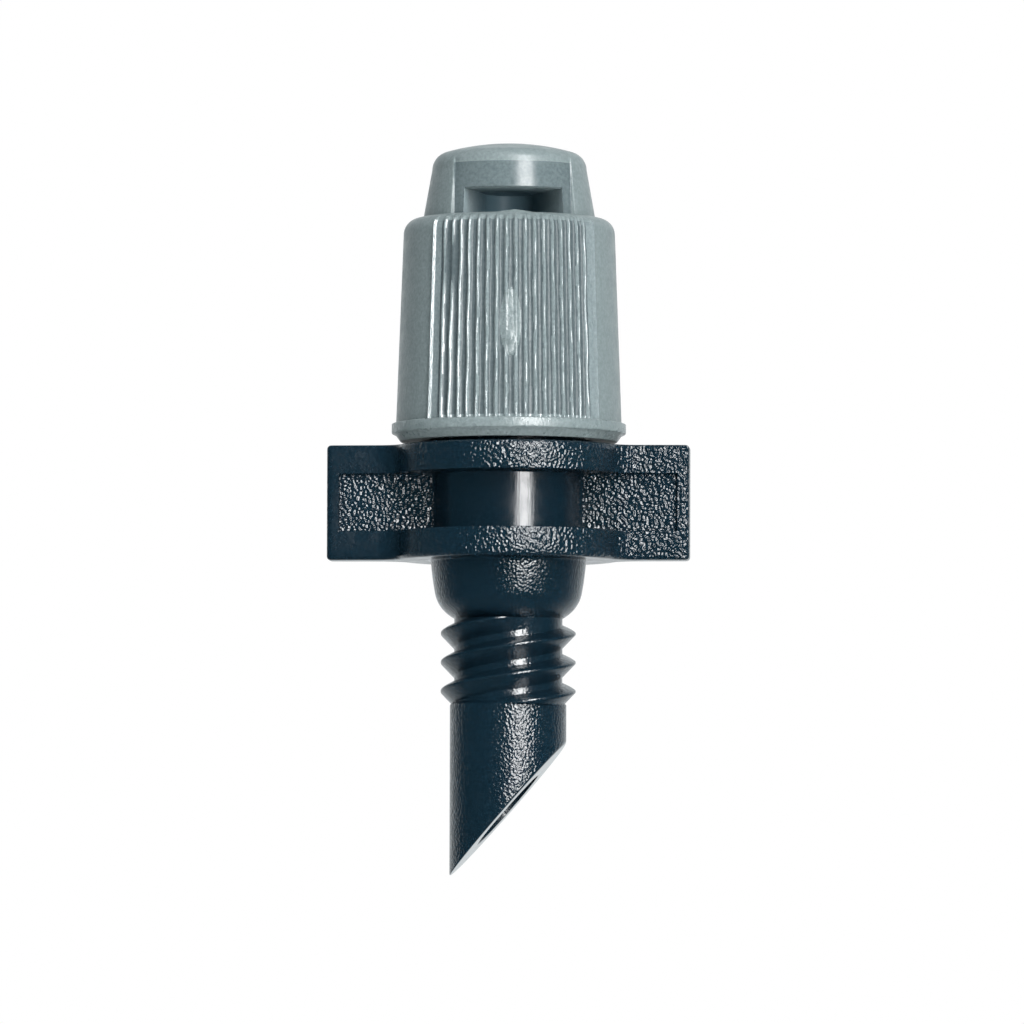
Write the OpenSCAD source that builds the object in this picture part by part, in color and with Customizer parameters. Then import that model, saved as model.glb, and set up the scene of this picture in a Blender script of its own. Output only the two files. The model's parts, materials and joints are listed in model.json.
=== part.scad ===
// Adjustable micro spray emitter: a winged, self-tapping base pushed and screwed into
// an irrigation pipe, a knurled cap that screws on it, and the O-ring that seals the two.
// Turning the cap lifts its jet hole off a needle in the base, which opens the flow.
// The axis is +Z. The origin is on the axis, where the plain shank meets the thread.

/* [Spike] */
// Outside radius of the plain shank
shank_r = 2.58; // [2.5:0.01:2.7]
// Shank left below the thread on the short side of the slanted cut
shank_short = 1.7; // [1:0.1:3]
// How much slimmer the spike is at its point than its shank, on the radius
spike_draft = 0.02; // [0.01:0.005:0.05]
// Angle of the slanted cut from the horizontal
cut_angle = 48.8; // [40:0.2:55]
// Radius of the water bore
bore_r = 1.3; // [1.1:0.05:1.5]

/* [Pipe thread] */
// Radius over the sharp crests
pipe_crest_r = 3.02; // [2.85:0.01:3.2]
// Radius of the core under the crests
pipe_root_r = 2.4; // [2.2:0.05:2.5]
// Distance between neighbouring crests
pipe_pitch = 1.28; // [1.2:0.02:1.4]
// Height of the thread and its plain neck
pipe_thread_h = 3.8; // [3.6:0.1:4.2]

/* [Bulb] */
// Largest radius of the bulb, just below the flanges
bulb_r = 3.44; // [3.3:0.02:3.6]
// Height of the bulb
bulb_h = 2.6; // [2.4:0.1:3]

/* [Flanges and wings] */
// Radius of the two round flanges
flange_r = 4.98; // [4.7:0.02:5.2]
// Height over both flanges, and of the wings
grip_h = 5.1; // [4.8:0.1:5.6]
// Thickness of each flange
flange_t = 1.28; // [1:0.02:1.5]
// Radius of the drum between the flanges
drum_r = 3.24; // [3:0.02:3.5]
// Distance from the axis to the end of a wing
wing_reach = 8.04; // [7.4:0.02:9]
// Thickness of a wing where it leaves the flanges
wing_t = 1.9; // [1.6:0.1:2.2]
// Thickness of a wing at its end
wing_end_t = 1.5; // [1.3:0.1:1.6]
// Thickness of the thin web inside a wing
web_t = 1; // [0.7:0.1:1.2]
// Width of the bar that closes a wing's pockets at its end
end_bar = 0.52; // [0.4:0.02:0.8]
// Radius of the fillet between a wing and the flanges
wing_fillet = 1.2; // [0.8:0.1:1.6]

/* [Cap] */
// Height of the cap from its lower edge to the shoulder
cap_h = 9.93; // [9.8:0.01:10.1]
// Radius of the cap at its collar
cap_r = 5; // [4.95:0.01:5.1]
// Radius of the cap just under the shoulder
cap_top_r = 4.69; // [4.6:0.01:4.9]
// Radius of the small lip round the collar
lip_r = 5.2; // [5.15:0.01:5.3]
// Gap between the cap and the flanges when it is screwed down
cap_gap = 0.15; // [0.1:0.01:0.3]
// Direction of the spray window, counted from the front
cap_angle = 7; // [-180:1:180]

/* [Grip ribs] */
// Ribs in each of the two grip panels, without the rib at each border
rib_count = 17; // [9:2:17]
// Angle between neighbouring ribs
rib_step = 5; // [4.8:0.1:5.2]
// Angle from a panel's middle to the rib at its border
rib_border = 47.8; // [46:0.2:60]
// Height of a rib
rib_h = 0.12; // [0.06:0.01:0.14]

/* [Spray head] */
// Radius of the head at the shoulder
head_r = 3.82; // [3.78:0.01:3.9]
// Radius of the head under its crown
head_top_r = 3.43; // [3.4:0.01:3.48]
// Height of the head above the shoulder
head_h = 3.34; // [3.2:0.02:3.6]
// Radius of the crown's curve
crown_r = 10.5; // [9:0.1:14]
// Radius of the spray window's recessed face where it meets the shoulder
face_low_r = 3.66; // [3.5:0.01:3.7]
// Radius of that face at its upper edge
face_high_r = 3.36; // [3.3:0.01:3.38]
// Width of the spray window at the shoulder
face_w = 5.5; // [5.2:0.02:5.7]
// Height of the spray slot
slot_h = 1.13; // [0.9:0.01:1.3]
// Half the angle of the spray slot at its mouth
slot_half = 38; // [34:1:40]
// Radius of the pocket round the jet
jet_pocket_r = 1.1; // [1:0.05:1.3]
// Radius of the jet hole
jet_r = 0.6; // [0.5:0.01:0.62]

/* [Cap thread and valve] */
// Height that one turn of the cap gives
cap_lead = 1.2; // [1.1:0.05:1.3]
// Turns of the cap from shut to fully open
cap_turns = 1.5; // [0.5:0.25:1.5]
// Turns that the cap is open as drawn
open_turns = 0; // [0:0.25:1.5]
// Core radius of the base's thread for the cap
cap_root_r = 3.4; // [3.3:0.02:3.42]
// Crest radius of the base's thread for the cap
cap_crest_r = 3.85; // [3.75:0.01:3.87]
// Radial clearance between the two cap threads
thread_gap = 0.1; // [0.08:0.01:0.12]
// Radius of the nose that slides in the O-ring
nose_r = 2.5; // [2.4:0.02:2.54]
// Radius of the O-ring's cross-section, as fitted
ring_r = 0.47; // [0.42:0.01:0.48]
// Radius of the needle's stem
needle_r = 0.75; // [0.7:0.01:0.8]

/* [Hidden] */

EPS = 0.01;
ROUND = 96;
SEAL_GAP = 0.03;
VALVE_GAP = 0.05;

// Levels up the axis
short_z = -shank_short;
tip_z = short_z - 2 * shank_r * tan(cut_angle);
bulb_z = pipe_thread_h;
grip_z = bulb_z + bulb_h;
grip_top = grip_z + grip_h;
cap_z = grip_top + cap_gap;
shoulder_z = cap_z + cap_h;
roof_t = 1.02;
roof_z = shoulder_z - roof_t;
nose_top = roof_z - 0.1;
corner_r = 0.7;
step_h = 0.06;
lip_z = cap_z + 0.36;
lip_h = 0.45;
lip_top = lip_z + lip_h + step_h;

// Lean of the recessed face, and how fast the window narrows, per millimetre of height
face_h = 2.3;
face_lean = (face_low_r - face_high_r) / face_h;
face_taper = 0.12;

// Levels of the cap's thread and its seal
ring_room = 2 * (ring_r + SEAL_GAP);
seal_top = roof_z - cap_lead * cap_turns - 0.05;
seat_z = seal_top - ring_room - 0.2;
ring_z = seal_top - ring_room / 2;
ring_path_r = nose_r + SEAL_GAP + ring_r;
stem_z = seat_z - 0.5;
male_z = grip_top + 1;
thread_len = stem_z - male_z - 0.3;

// Point at radius r, angle a and height z
function polar(r, a, z) = [r * cos(a), r * sin(a), z];

// How far a ridge stands out along its length, from 0 at its ends to 1
function run_out(u, fade) = min(1, u / fade, (1 - u) / fade);

// One helical ridge. Its section joins the wall at root_r, over foot above and below
// its crest, and is flat over half_crest there. sink is how far it is set in the wall.
module ridge(root_r, crest_r, foot_low, foot_high, half_crest, lead, len, start, sink, left_z) {
    per_turn = 30;
    steps = ceil(len / lead * per_turn);
    fade = 0.12;
    section = [for (k = [0 : steps])
        let (u = k / steps,
             a = start + 360 * len / lead * u,
             z = left_z + len * u,
             top_r = root_r + (crest_r - root_r) * run_out(u, fade) - (u == 0 || u == 1 ? sink / 4 : 0))
        [polar(root_r - sink, a, z - foot_low), polar(top_r, a, z - half_crest),
         polar(top_r, a, z + half_crest), polar(root_r - sink, a, z + foot_high)]];
    points = [for (ring = section, p = ring) p];
    sides = [for (k = [0 : steps - 1], j = [0 : 3])
        [4 * k + j, 4 * k + (j + 1) % 4, 4 * k + 4 + (j + 1) % 4, 4 * k + 4 + j]];
    // A ridge on the inside of a wall has its faces the other way round
    ends = [[3, 2, 1, 0], [for (j = [0 : 3]) 4 * steps + j]];
    faces = concat(sides, ends);
    polyhedron(points, sink > 0 ? faces : [for (f = faces) [for (i = [len(f) - 1 : -1 : 0]) f[i]]]);
}

// The two starts of the self-tapping thread: steep above each crest, gently sloped below
module pipe_thread() {
    starts = 2;
    lead = pipe_pitch * starts;
    first_z = 0.1;
    first_a = 110;
    for (s = [0 : starts - 1])
        ridge(pipe_root_r, pipe_crest_r, 0.76, 0.38, 0.03, lead, pipe_thread_h - 0.4,
              first_a + 360 / starts * s, 0.12, first_z);
}

// Core of the spike, from its point to the underside of the flanges
module spike_core() {
    neck_r = pipe_root_r;
    curve_h = 1.5;
    curve = [for (t = [0 : 15 : 90])
        [neck_r + (bulb_r - 0.1 - neck_r) * sin(t), bulb_z + curve_h * (1 - cos(t))]];
    rotate_extrude($fn = ROUND)
        polygon(concat([[0, tip_z], [shank_r - spike_draft, tip_z], [shank_r, short_z], [shank_r, 0],
                        [neck_r, 0.15]],
                       curve, [[bulb_r, grip_z + EPS], [0, grip_z + EPS]]));
}

// Outline of a flange with its two wings, seen from above
module grip_outline() {
    offset(r = -wing_fillet)
        offset(delta = wing_fillet) {
            circle(r = flange_r, $fn = ROUND);
            for (side = [-1, 1])
                scale([side, 1])
                    polygon([[0, -wing_t / 2], [wing_reach, -wing_end_t / 2],
                             [wing_reach, wing_end_t / 2], [0, wing_t / 2]]);
        }
}

// Drum, webs and end bars that join the two flanges
module grip_core() {
    translate([0, 0, grip_z])
        cylinder(h = grip_h, r = drum_r, $fn = ROUND);
    translate([-wing_reach + EPS, -web_t / 2, grip_z])
        cube([2 * wing_reach - 2 * EPS, web_t, grip_h]);
    for (side = [-1, 1])
        translate([side * (wing_reach - end_bar / 2) - end_bar / 2, -wing_end_t / 2, grip_z])
            cube([end_bar, wing_end_t, grip_h]);
}

module grip() {
    for (z = [grip_z, grip_top - flange_t])
        translate([0, 0, z])
            linear_extrude(flange_t)
                grip_outline();
    grip_core();
}

// Threaded stem and smooth nose inside the cap
module stem() {
    translate([0, 0, grip_top - EPS])
        cylinder(h = stem_z - grip_top + EPS, r = cap_root_r, $fn = ROUND);
    translate([0, 0, stem_z - EPS])
        cylinder(h = nose_top - stem_z + EPS, r = nose_r, $fn = ROUND);
    ridge(cap_root_r, cap_crest_r, 0.36, 0.36, 0.14, cap_lead, thread_len, 0, 0.1, male_z + 0.2);
}

// Needle on the axis, held by three fins across the bore
module needle() {
    fins = 3;
    fin_t = 0.5;
    fin_h = 1;
    fin_z = grip_top;
    point_z = roof_z + 0.4;
    point_h = 0.45;
    point_r = jet_r - VALVE_GAP;
    translate([0, 0, fin_z])
        cylinder(h = roof_z - fin_z, r = needle_r, $fn = ROUND);
    translate([0, 0, roof_z - EPS])
        cylinder(h = point_z - roof_z + EPS, r1 = needle_r, r2 = point_r, $fn = ROUND);
    translate([0, 0, point_z - EPS])
        cylinder(h = point_h, r1 = point_r, r2 = point_r / 2, $fn = ROUND);
    for (k = [0 : fins - 1])
        rotate(360 / fins * k)
            translate([0, -fin_t / 2, fin_z])
                cube([bore_r + 0.3, fin_t, fin_h]);
}

module base() {
    color([0.07, 0.11, 0.13]) {
        difference() {
            union() {
                spike_core();
                pipe_thread();
                grip();
                stem();
            }
            translate([0, 0, tip_z - 1])
                cylinder(h = nose_top - tip_z + 2, r = bore_r, $fn = ROUND);
            // Slanted cut that leaves the point on the left
            translate([shank_r, 0, short_z])
                rotate([0, -cut_angle, 0])
                    translate([-20, -5, -10])
                        cube([40, 10, 10]);
        }
        needle();
    }
}

module o_ring() {
    color([0.03, 0.03, 0.03])
        translate([0, 0, ring_z + cap_lead * open_turns])
            rotate_extrude($fn = ROUND)
                translate([ring_path_r, 0])
                    circle(r = ring_r, $fn = 32);
}

// Outside of the cap, from the collar to the crown, as a solid of revolution
module cap_outside() {
    // The crown is part of a sphere, blended into the drafted side by an arc of edge_r
    edge_r = 0.8;
    top_a = asin((head_top_r - edge_r) / (crown_r - edge_r));
    crown_c = shoulder_z + head_h - crown_r;
    edge_z = crown_c + (crown_r - edge_r) * cos(top_a);
    corner = [for (a = [0 : 15 : 90])
        [cap_top_r - corner_r + corner_r * cos(a), shoulder_z - corner_r + corner_r * sin(a)]];
    edge = [for (k = [0 : 6])
        let (a = (90 - top_a) * k / 6)
            [head_top_r - edge_r + edge_r * cos(a), edge_z + edge_r * sin(a)]];
    crown = [for (k = [7 : -1 : 0])
        let (a = top_a * k / 8) [crown_r * sin(a), crown_c + crown_r * cos(a)]];
    rotate_extrude($fn = ROUND)
        polygon(concat([[0, cap_z], [cap_r - 0.2, cap_z], [cap_r, lip_z - step_h], [lip_r, lip_z],
                        [lip_r, lip_z + lip_h], [cap_r, lip_top]],
                       corner, [[head_r, shoulder_z]], edge, crown));
}

// Two panels of fine upright ribs that follow the skirt's taper
module grip_ribs() {
    rib_w = 0.26;
    high_z = shoulder_z - 0.45;
    slope = atan((cap_r - cap_top_r) / (shoulder_z - corner_r - lip_top));
    // Ribs are set this far into the wall
    deep = 0.25;
    turns = concat([-rib_border, rib_border],
                   [for (k = [0 : rib_count - 1]) (k - (rib_count - 1) / 2) * rib_step]);
    for (side = [0, 180], turn = turns)
        rotate(side - 90 + turn)
            translate([cap_r, 0, lip_top])
                rotate([0, -slope, 0])
                    linear_extrude(high_z - lip_top)
                        polygon([[-deep, -rib_w / 2], [0, -rib_w / 2], [rib_h, 0],
                                 [0, rib_w / 2], [-deep, rib_w / 2]]);
}

// Fan-shaped slot that the jet leaves through, open over the front of the head
module spray_slot() {
    // The side walls run straight from the jet's pocket through the mouth's corners
    reach = 6;
    mouth_r = face_low_r - face_lean * slot_h;
    mouth_x = mouth_r * sin(slot_half);
    mouth_y = mouth_r * cos(slot_half);
    flare = (mouth_x - jet_pocket_r) / mouth_y * (reach - mouth_y);
    translate([0, 0, shoulder_z])
        linear_extrude(slot_h)
            union() {
                circle(r = jet_pocket_r, $fn = 48);
                polygon([[-jet_pocket_r, 0], [jet_pocket_r, 0],
                         [mouth_x + flare, -reach], [-mouth_x - flare, -reach]]);
            }
}

// Shallow recess in the front of the head, with the slot and the deflector's cone over the jet
module spray_window() {
    over = 1;
    top_w = face_w - face_taper * head_h;
    translate([0, 0, shoulder_z])
        difference() {
            rotate([90, 0, 0])
                linear_extrude(head_r + over)
                    polygon([[-face_w / 2, 0], [face_w / 2, 0], [top_w / 2, head_h], [-top_w / 2, head_h]]);
            translate([0, 0, -over])
                cylinder(h = head_h + 2 * over, r1 = face_low_r + face_lean * over,
                         r2 = face_low_r - face_lean * (head_h + over), $fn = ROUND);
        }
    spray_slot();
    translate([0, 0, shoulder_z + slot_h - EPS])
        cylinder(h = 0.35, r1 = jet_pocket_r, r2 = 0.2, $fn = 48);
}

// Low roof-shaped rib along the middle of the slot's floor, from the jet to the shoulder's edge
module splitter() {
    start = jet_r + 0.2;
    reach = cap_top_r - corner_r + 0.06;
    translate([0, -start, shoulder_z])
        rotate([90, 0, 0])
            linear_extrude(reach - start)
                polygon([[-1, -0.04], [1, -0.04], [0, 0.1]]);
}

// Inside of the cap: threaded skirt, seal seat, nose bore, valve seat and jet hole
module cap_inside() {
    major_r = cap_crest_r + thread_gap;
    seat_r = ring_path_r + ring_r + SEAL_GAP;
    nose_bore_r = nose_r + 0.06;
    translate([0, 0, cap_z - 1])
        cylinder(h = seat_z - cap_z + 1, r = major_r, $fn = ROUND);
    translate([0, 0, seat_z - EPS])
        cylinder(h = seal_top - seat_z + EPS, r = seat_r, $fn = ROUND);
    translate([0, 0, seal_top - EPS])
        cylinder(h = roof_z - seal_top + EPS, r = nose_bore_r, $fn = ROUND);
    translate([0, 0, roof_z - EPS])
        cylinder(h = 0.4 + EPS, r1 = 1, r2 = jet_r, $fn = ROUND);
    translate([0, 0, roof_z])
        cylinder(h = roof_t + EPS, r = jet_r, $fn = ROUND);
}

// The cap's own thread: a ridge that stands inwards from the skirt
module cap_thread() {
    major_r = cap_crest_r + thread_gap;
    minor_r = cap_root_r + thread_gap;
    ridge(major_r, minor_r, 0.36, 0.36, 0.14, cap_lead, thread_len, 180, -0.1, male_z + 0.2);
}

module cap() {
    color([0.52, 0.57, 0.58])
        translate([0, 0, cap_lead * open_turns])
            rotate(cap_angle + 360 * open_turns) {
                difference() {
                    union() {
                        cap_outside();
                        grip_ribs();
                    }
                    cap_inside();
                    spray_window();
                }
                splitter();
                rotate(-cap_angle)
                    cap_thread();
            }
}

base();
o_ring();
cap();
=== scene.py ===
"""Looks of the adjustable micro spray emitter: its base and cap as detailed meshes."""
import json
import math

import bmesh
import bpy
import numpy as np
from mathutils import Matrix, Vector


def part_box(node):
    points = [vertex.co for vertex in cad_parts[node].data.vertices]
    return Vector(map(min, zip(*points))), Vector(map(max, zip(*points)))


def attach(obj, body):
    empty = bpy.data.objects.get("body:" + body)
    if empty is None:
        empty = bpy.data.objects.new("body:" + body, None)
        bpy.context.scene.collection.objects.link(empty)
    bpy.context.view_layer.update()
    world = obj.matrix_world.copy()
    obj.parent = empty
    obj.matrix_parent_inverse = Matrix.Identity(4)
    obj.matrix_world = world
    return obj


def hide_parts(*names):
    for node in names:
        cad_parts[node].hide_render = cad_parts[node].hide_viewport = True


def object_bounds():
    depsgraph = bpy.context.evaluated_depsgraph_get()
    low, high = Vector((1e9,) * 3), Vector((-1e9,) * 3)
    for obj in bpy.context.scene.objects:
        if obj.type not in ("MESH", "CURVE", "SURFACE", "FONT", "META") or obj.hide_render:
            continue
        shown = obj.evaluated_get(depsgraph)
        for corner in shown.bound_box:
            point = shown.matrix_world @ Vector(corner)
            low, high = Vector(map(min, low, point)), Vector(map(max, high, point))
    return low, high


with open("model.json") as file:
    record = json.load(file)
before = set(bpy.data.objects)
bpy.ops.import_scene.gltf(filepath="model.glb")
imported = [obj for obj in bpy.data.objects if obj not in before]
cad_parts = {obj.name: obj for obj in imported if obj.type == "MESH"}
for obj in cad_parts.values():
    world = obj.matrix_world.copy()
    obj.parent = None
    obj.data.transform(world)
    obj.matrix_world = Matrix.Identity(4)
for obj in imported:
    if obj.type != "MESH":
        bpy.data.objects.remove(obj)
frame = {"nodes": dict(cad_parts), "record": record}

cad_lo, cad_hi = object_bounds()

# Lengths below are in millimetres, in the frame's own axes; MM turns them into metres.
MM = 0.001
TURN = 2 * math.pi


def box_mm(node):
    """Corners of a CAD node's box in millimetres."""
    lo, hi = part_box(node)
    return lo / MM, hi / MM


base_reach = box_mm("base")[1].x
cap_lo, cap_hi = box_mm("cap")

# ---------------------------------------------------------------- sizes of the base
SHANK_R = frame["record"]["mounts"][0]["dims"]["r_mm"]
CUT_ANGLE = math.radians(48.8)
SHORT_Z = -frame["record"]["mounts"][0]["dims"]["length_mm"]
CUT_BACK = 0.13
BORE_R = 1.3

PIPE_ROOT_R = 2.4
PIPE_CREST_R = 3.02
PIPE_PITCH = 1.28
PIPE_STARTS = 2
PIPE_FIRST_CREST = 0.57
PIPE_RAMP = 0.64
PIPE_FLANK = 0.35
NECK_Z = 3.8

CAP_GAP = 0.15
CAP_Z = cap_lo.z
GRIP_TOP = CAP_Z - CAP_GAP
GRIP_H = 5.1
GRIP_Z = GRIP_TOP - GRIP_H
BULB_R = 3.44
FLANGE_R = 4.98
FLANGE_T = 1.28
DRUM_R = 3.24
WING_REACH = base_reach
WING_HALF = 1.0
WING_END_HALF = 0.72
WEB_HALF = 0.5
END_BAR = 0.52
WING_FILLET = 1.2
EDGE = 0.17
GROOVE_EDGE = 0.05
CORE_FILLET = 0.06

# ---------------------------------------------------------------- sizes of the cap
CAP_TURN = math.radians(7)
CROWN_Z = cap_hi.z
SHOULDER_Z = CAP_Z + 9.93
CAP_R = 5.0
CAP_TOP_R = 4.69
LIP_R = (cap_hi.x - cap_lo.x) / 2
LIP_Z = CAP_Z + 0.36
LIP_H = 0.45
CORNER_R = 0.7
HEAD_R = 3.82
HEAD_TOP_R = 3.43
HEAD_EDGE = 0.8
CROWN_R = 10.5
FACE_LOW_R = 3.66
FACE_TOP_R = 3.36
FACE_H = 2.3
FACE_WIDE = 2.75
FACE_TAPER = 0.06
FACE_BEVEL = math.radians(1.1)
SLOT_H = 1.13
SLOT_HALF = math.radians(38)
JET_POCKET_R = 1.1
JET_R = 0.6
RIBS = 17
RIB_STEP = math.radians(5)
RIB_BORDER = math.radians(47.8)
RIB_H = 0.16

# ---------------------------------------------------------------- sizes inside the cap
LEAD = 1.2
STEM_R = 3.4
STEM_CREST_R = 3.85
THREAD_GAP = 0.1
NOSE_R = 2.5
NEEDLE_R = 0.75
ring_lo, ring_hi = box_mm("o_ring")
SEAL_TOP = ring_hi.z + 0.03
SEAT_Z = ring_lo.z - 0.23
STEM_Z = SEAT_Z - 0.5
ROOF_Z = SHOULDER_Z - 1.02
NOSE_TOP = ROOF_Z - 0.1
MALE_Z = GRIP_TOP + 1


# ---------------------------------------------------------------- small tools
def bezier(a, b, c, n):
    """Points along a curve from a to c that leaves and arrives towards b, without the first."""
    t = np.linspace(0, 1, n + 1)[1:, None]
    a, b, c = (np.array(p, float) for p in (a, b, c))
    return (1 - t) ** 2 * a + 2 * t * (1 - t) * b + t ** 2 * c


def arc(centre, r, start, end, n):
    """Points on a circle from angle start to angle end, both included."""
    t = np.linspace(start, end, n)
    return np.stack([centre[0] + r * np.cos(t), centre[1] + r * np.sin(t)], 1)


def smooth_step(x, low, high):
    t = np.clip((x - low) / (high - low), 0, 1)
    return t * t * (3 - 2 * t)


def ring(r, z, angles):
    """A level or wavy loop of points at radius r and height z round the axis."""
    r = np.broadcast_to(r, angles.shape)
    z = np.broadcast_to(z, angles.shape)
    return np.stack([r * np.cos(angles), r * np.sin(angles), z], 1)


def even_angles(n):
    return np.arange(n) * TURN / n


def solid(name, points, faces):
    """An object from points in mm and faces, with every face turned outwards."""
    mesh = bpy.data.meshes.new(name)
    mesh.from_pydata((np.array(points) * MM).tolist(), [], faces)
    bm = bmesh.new()
    bm.from_mesh(mesh)
    bmesh.ops.recalc_face_normals(bm, faces=bm.faces)
    bm.to_mesh(mesh)
    bm.free()
    obj = bpy.data.objects.new(name, mesh)
    bpy.context.scene.collection.objects.link(obj)
    return obj


def skin(name, loops, materials, slot_of):
    """A closed mesh through a stack of loops, with a fan over the first and the last.

    A loop may have a whole fraction of the points of the one before it, or a multiple.
    slot_of(centres, normals) gives each face's material index."""
    starts = np.cumsum([0] + [len(p) for p in loops])
    faces = []
    for k in range(len(loops) - 1):
        a, b, na, nb = starts[k], starts[k + 1], len(loops[k]), len(loops[k + 1])
        n = min(na, nb)
        sa, sb = na // n, nb // n
        for i in range(n):
            low = [a + (i * sa + j) % na for j in range(sa + 1)]
            high = [b + (i * sb + j) % nb for j in range(sb + 1)]
            faces.append(low + high[::-1])
    points = np.concatenate(loops)
    poles = [loops[0].mean(0), loops[-1].mean(0)]
    first, last = len(points), len(points) + 1
    n0, n1, s1 = len(loops[0]), len(loops[-1]), starts[-2]
    faces += [[first, (i + 1) % n0, i] for i in range(n0)]
    faces += [[last, s1 + i, s1 + (i + 1) % n1] for i in range(n1)]
    obj = solid(name, np.concatenate([points, poles]), faces)
    for m in materials:
        obj.data.materials.append(m)
    paint(obj, slot_of)
    return obj


def paint(obj, slot_of):
    """Gives each face the material index that slot_of works out from its centre, in mm."""
    mesh = obj.data
    n = len(mesh.polygons)
    centres = np.zeros(n * 3)
    mesh.polygons.foreach_get("center", centres)
    mesh.polygons.foreach_set("material_index", slot_of(centres.reshape(-1, 3) / MM).astype(int))
    mesh.polygons.foreach_set("use_smooth", np.ones(n, bool))
    mesh.update()


def smooth_by_angle(obj, degrees):
    """Smooth shading that leaves edges sharper than this angle crisp."""
    obj.data.set_sharp_from_angle(angle=math.radians(degrees))


# ---------------------------------------------------------------- materials
def new_material(name):
    m = bpy.data.materials.new(name)
    m.use_nodes = True
    tree = m.node_tree
    return m, tree, tree.nodes["Principled BSDF"]


def add_noise(tree, scale, detail, seed, upright=1):
    """A noise texture over the part's own coordinates; scale is features per metre, and upright
    how much longer they are up the axis."""
    where = tree.nodes.new("ShaderNodeTexCoord")
    place = tree.nodes.new("ShaderNodeMapping")
    place.inputs["Location"].default_value = (seed, seed * 2, seed * 3)
    place.inputs["Scale"].default_value = (1, 1, 1 / upright)
    noise = tree.nodes.new("ShaderNodeTexNoise")
    noise.inputs["Scale"].default_value = scale
    noise.inputs["Detail"].default_value = detail
    tree.links.new(where.outputs["Object"], place.inputs["Vector"])
    tree.links.new(place.outputs["Vector"], noise.inputs["Vector"])
    return noise.outputs["Fac"]


def spread(tree, value, low, high, start=0.35, end=0.65):
    """Maps a noise value to the range low..high."""
    node = tree.nodes.new("ShaderNodeMapRange")
    node.inputs["From Min"].default_value = start
    node.inputs["From Max"].default_value = end
    node.inputs["To Min"].default_value = low
    node.inputs["To Max"].default_value = high
    tree.links.new(value, node.inputs["Value"])
    return node.outputs["Result"]


def two_tone(tree, value, dark, light):
    """A colour between dark and light that follows a noise value."""
    ramp = tree.nodes.new("ShaderNodeValToRGB")
    ramp.color_ramp.elements[0].position = 0.3
    ramp.color_ramp.elements[1].position = 0.7
    ramp.color_ramp.elements[0].color = (*dark, 1)
    ramp.color_ramp.elements[1].color = (*light, 1)
    tree.links.new(value, ramp.inputs["Fac"])
    return ramp.outputs["Color"]


def add_bump(tree, shader, layers):
    """Stacks bump layers, each (height value, depth in mm)."""
    normal = None
    for value, depth in layers:
        bump = tree.nodes.new("ShaderNodeBump")
        bump.inputs["Distance"].default_value = depth * MM
        tree.links.new(value, bump.inputs["Height"])
        if normal:
            tree.links.new(normal, bump.inputs["Normal"])
        normal = bump.outputs["Normal"]
    tree.links.new(normal, shader.inputs["Normal"])


def plastic(name, dark, light, rough, grain, seed, shine=0.5):
    """Moulded plastic. rough is the roughness range; grain is the bump layers, each
    (grain size in mm, detail, depth in mm, upright stretch); shine is the specular level."""
    m, tree, shader = new_material(name)
    tone = add_noise(tree, 1 / (TONE_SIZE * MM), 3, seed)
    tree.links.new(two_tone(tree, tone, dark, light), shader.inputs["Base Color"])
    wear = add_noise(tree, 1 / (0.5 * MM), 3, seed + 1)
    tree.links.new(spread(tree, wear, *rough), shader.inputs["Roughness"])
    shader.inputs["IOR"].default_value = 1.5
    shader.inputs["Specular IOR Level"].default_value = shine
    layers = [(add_noise(tree, 1 / (size * MM), detail, seed + 2 + i, upright), depth)
              for i, (size, detail, depth, upright) in enumerate(grain)]
    add_bump(tree, shader, layers)
    return m


def paint_shade_inwards(m, colour, near, far):
    """Paints shade towards the part's axis: mixes the colour in, all of it inside near, none beyond far, in
    mm.
    """
    tree = m.node_tree
    shader = tree.nodes["Principled BSDF"]
    where, flat, span, reach, mix = [tree.nodes.new("ShaderNode" + kind) for kind in (
        "TexCoord", "VectorMath", "VectorMath", "MapRange", "Mix")]
    flat.operation, span.operation, mix.data_type = "MULTIPLY", "LENGTH", "RGBA"
    flat.inputs[1].default_value = (1, 1, 0)
    reach.inputs["From Min"].default_value = near * MM
    reach.inputs["From Max"].default_value = far * MM
    mix.inputs[6].default_value = (*colour, 1)
    own = shader.inputs["Base Color"].links[0].from_socket
    tree.links.new(where.outputs["Object"], flat.inputs[0])
    tree.links.new(flat.outputs["Vector"], span.inputs[0])
    tree.links.new(span.outputs["Value"], reach.inputs["Value"])
    tree.links.new(reach.outputs["Result"], mix.inputs["Factor"])
    tree.links.new(own, mix.inputs[7])
    tree.links.new(mix.outputs[2], shader.inputs["Base Color"])


TONE_SIZE = 0.14
BLACK_DARK, BLACK_LIGHT = (0.002, 0.008, 0.014), (0.004, 0.013, 0.021)
GREY_DARK, GREY_LIGHT = (0.122, 0.153, 0.157), (0.176, 0.212, 0.214)
# Painted shade: the recessed face of the spray window is coloured darker than the cap's grey, standing in
# for its shade; its lower roughness is its real polish.
WINDOW_PAINTED_SHADE_DARK, WINDOW_PAINTED_SHADE_LIGHT = (0.075, 0.098, 0.104), (0.110, 0.138, 0.144)
# Painted light: the rib crests are coloured lighter than the cap's grey, standing in for the light they
# catch.
RIB_PAINTED_LIGHT_DARK, RIB_PAINTED_LIGHT_LIGHT = (0.140, 0.174, 0.180), (0.196, 0.234, 0.240)
# Painted shade: the rib grooves are coloured darker than the cap's grey, standing in for the shade deep
# between the ribs.
GROOVE_PAINTED_SHADE_DARK, GROOVE_PAINTED_SHADE_LIGHT = (0.050, 0.068, 0.074), (0.080, 0.102, 0.108)
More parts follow.
